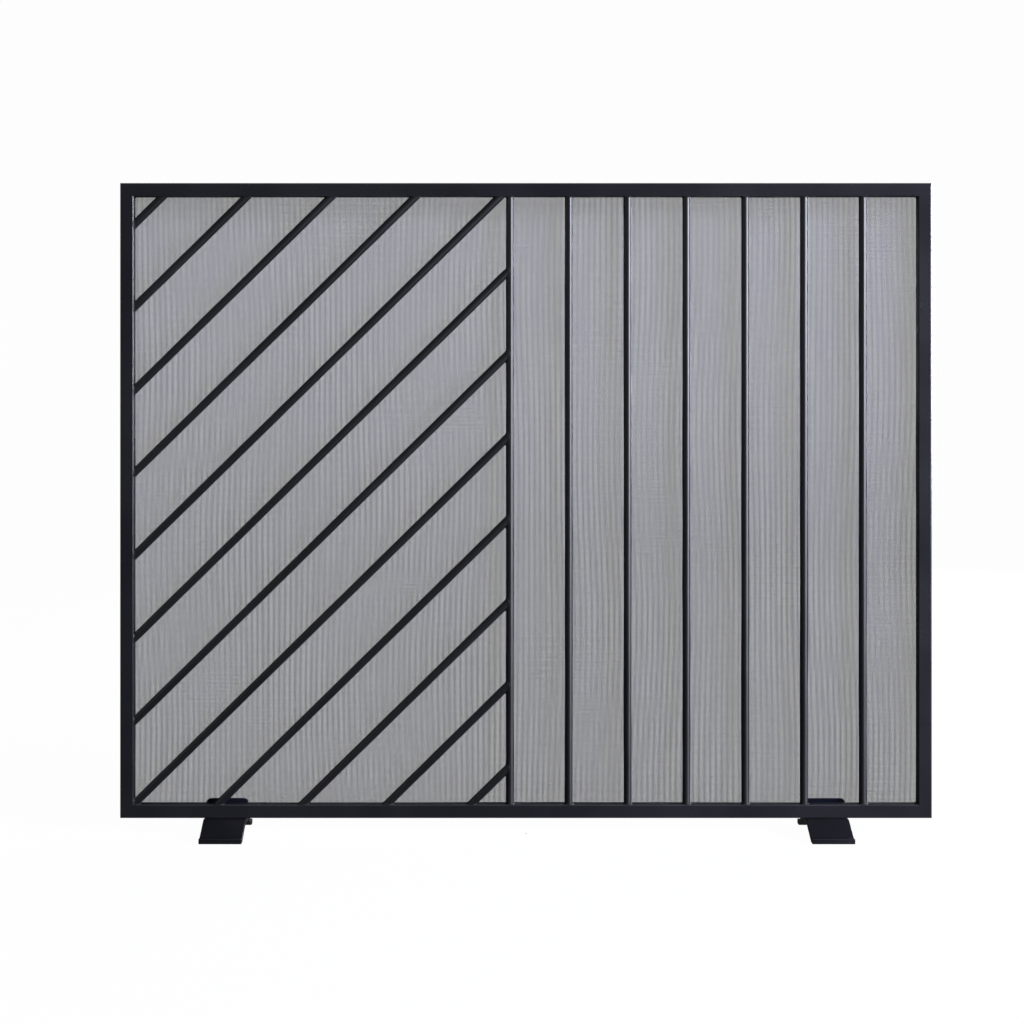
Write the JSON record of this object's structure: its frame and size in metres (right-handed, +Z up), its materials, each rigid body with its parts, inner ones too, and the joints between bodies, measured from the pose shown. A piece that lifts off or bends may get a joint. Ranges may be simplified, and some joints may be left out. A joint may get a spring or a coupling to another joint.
{
  "type": "fireplace screen",
  "caption": "Flat free-standing fireplace screen: square-tube frame, a bay of slanted bars beside a bay of upright bars, wire cloth behind, and two arched flat-bar feet.",
  "frame": {"origin": "on the hearth, under the middle of the frame: the middle of the object's box, at its bottom", "axes": "+Z up; +X along the screen's width, to the right seen from the front; the front faces -Y, and +Y points to the fire"},
  "size_m": [0.965, 0.11, 0.775],
  "materials": {
    "frame_coat": "satin black powder coat, fine texture",
    "bar_coat": "satin black powder coat, smoother than the frame",
    "wire_cloth": "woven steel wire, painted black",
    "strip_coat": "satin black powder coat",
    "foot_coat": "satin black powder coat, worn a little at the toes",
    "screw_steel": "black oxide steel, oiled",
    "zinc_plate": "zinc-plated steel"
  },
  "bodies": {
    "root": {"top_rail": "frame_coat", "bottom_rail": "frame_coat", "left_stile": "frame_coat", "right_stile": "frame_coat", "upright_bar_1": "bar_coat", "upright_bar_2": "bar_coat", "upright_bar_3": "bar_coat", "upright_bar_4": "bar_coat", "upright_bar_5": "bar_coat", "upright_bar_6": "bar_coat", "upright_bar_7": "bar_coat", "slanted_bar_1": "bar_coat", "slanted_bar_2": "bar_coat", "slanted_bar_3": "bar_coat", "slanted_bar_4": "bar_coat", "slanted_bar_5": "bar_coat", "slanted_bar_6": "bar_coat", "slanted_bar_7": "bar_coat", "slanted_bar_8": "bar_coat", "slanted_bar_9": "bar_coat", "slanted_bar_10": "bar_coat", "slanted_bar_11": "bar_coat", "slanted_bar_12": "bar_coat", "wire_cloth": "wire_cloth", "top_strip": "strip_coat", "bottom_strip": "strip_coat", "left_strip": "strip_coat", "right_strip": "strip_coat", "strip_screws": "screw_steel", "left_foot": "foot_coat", "right_foot": "foot_coat", "left_foot_plate": "foot_coat", "right_foot_plate": "foot_coat", "foot_screws": "screw_steel", "foot_inserts": "zinc_plate"}
  },
  "joints": []
}
